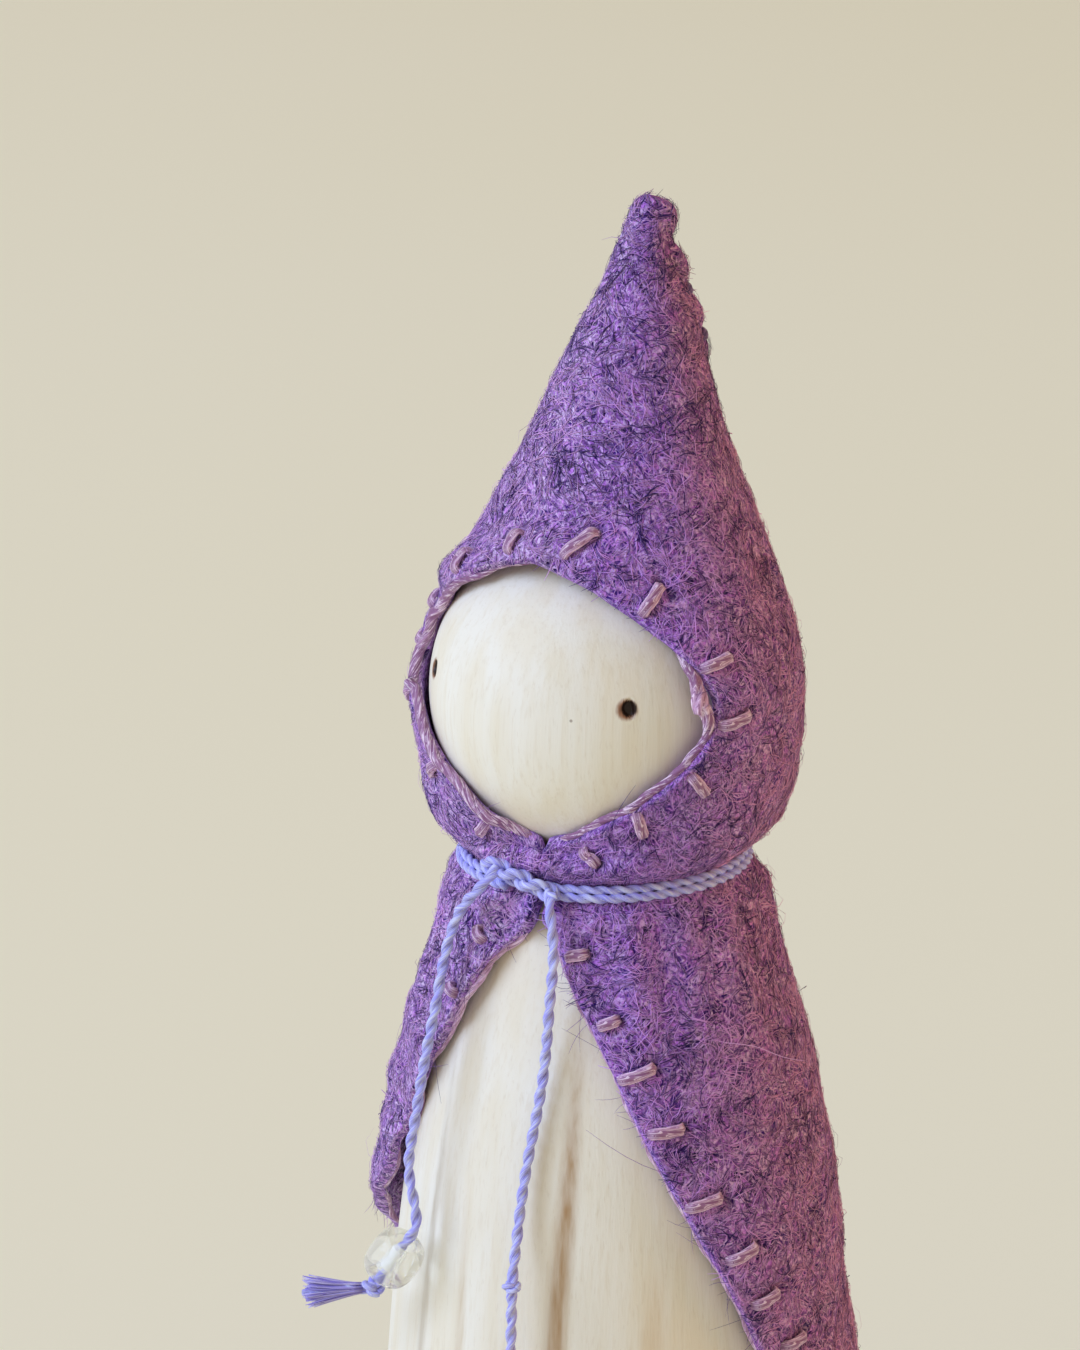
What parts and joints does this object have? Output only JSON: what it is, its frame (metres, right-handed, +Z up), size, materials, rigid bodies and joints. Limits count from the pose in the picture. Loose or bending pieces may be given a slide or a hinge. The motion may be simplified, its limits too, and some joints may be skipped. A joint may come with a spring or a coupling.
{
  "type": "hooded peg doll",
  "caption": "Turned wooden peg figure in a pointed hooded felt cape with blanket-stitched edges, tied at the neck by a cord with hanging beaded tails.",
  "frame": {"origin": "centre of the flat base, on the surface that the figure stands on", "axes": "+Z up along the peg, the face looks along -Y, +X is on the right of someone who looks at the face"},
  "size_m": [0.0366, 0.0393, 0.1108],
  "materials": {
    "wood": "bare pale turned wood, sanded smooth",
    "felt": "purple wool felt with a fuzzy surface",
    "stitch_thread": "mauve stranded embroidery thread",
    "tie_cord": "periwinkle twisted cotton cord",
    "bead_glass": "clear glass seed bead"
  },
  "bodies": {
    "peg": {"wooden_peg": "wood"},
    "garment": {"felt_hood": "felt", "felt_cape": "felt", "hood_edge_thread": "stitch_thread", "cape_edge_thread": "stitch_thread", "back_seam_thread": "stitch_thread", "neck_winding": "tie_cord", "neck_knot": "tie_cord"},
    "left_tail": {"left_tail_cord": "tie_cord", "left_stop_knot": "tie_cord", "left_frayed_end": "tie_cord"},
    "left_bead_body": {"left_bead": "bead_glass"},
    "right_tail": {"right_tail_cord": "tie_cord", "right_middle_knot": "tie_cord", "right_lower_cord": "tie_cord", "right_stop_knot": "tie_cord", "right_frayed_end": "tie_cord"},
    "right_bead_body": {"right_bead": "bead_glass"}
  },
  "joints": [
    {"name": "garment_turn", "type": "hinge", "parent": "peg", "child": "garment", "pos_m": [0, 0, 0.06737], "axis": [0, 0, 1], "continuous": true},
    {"name": "left_tail_swing", "type": "hinge", "parent": "garment", "child": "left_tail", "pos_m": [-0.00151, -0.01146, 0.06829], "axis": [-0.9914, 0.1305, 0], "range_deg": [0, 80]},
    {"name": "left_bead_spin", "type": "hinge", "parent": "left_tail", "child": "left_bead_body", "pos_m": [-0.00621, -0.0157, 0.04096], "axis": [-0.5371, -0.1317, -0.8332], "continuous": true},
    {"name": "right_tail_swing", "type": "hinge", "parent": "garment", "child": "right_tail", "pos_m": [0.00319, -0.01111, 0.06707], "axis": [-0.9613, -0.2756, 0], "range_deg": [0, 80]},
    {"name": "right_bead_slide", "type": "slide", "parent": "right_tail", "child": "right_bead_body", "axis": [-0.0298, 0.0816, 0.9962], "range_m": [0, 0.0075]}
  ]
}
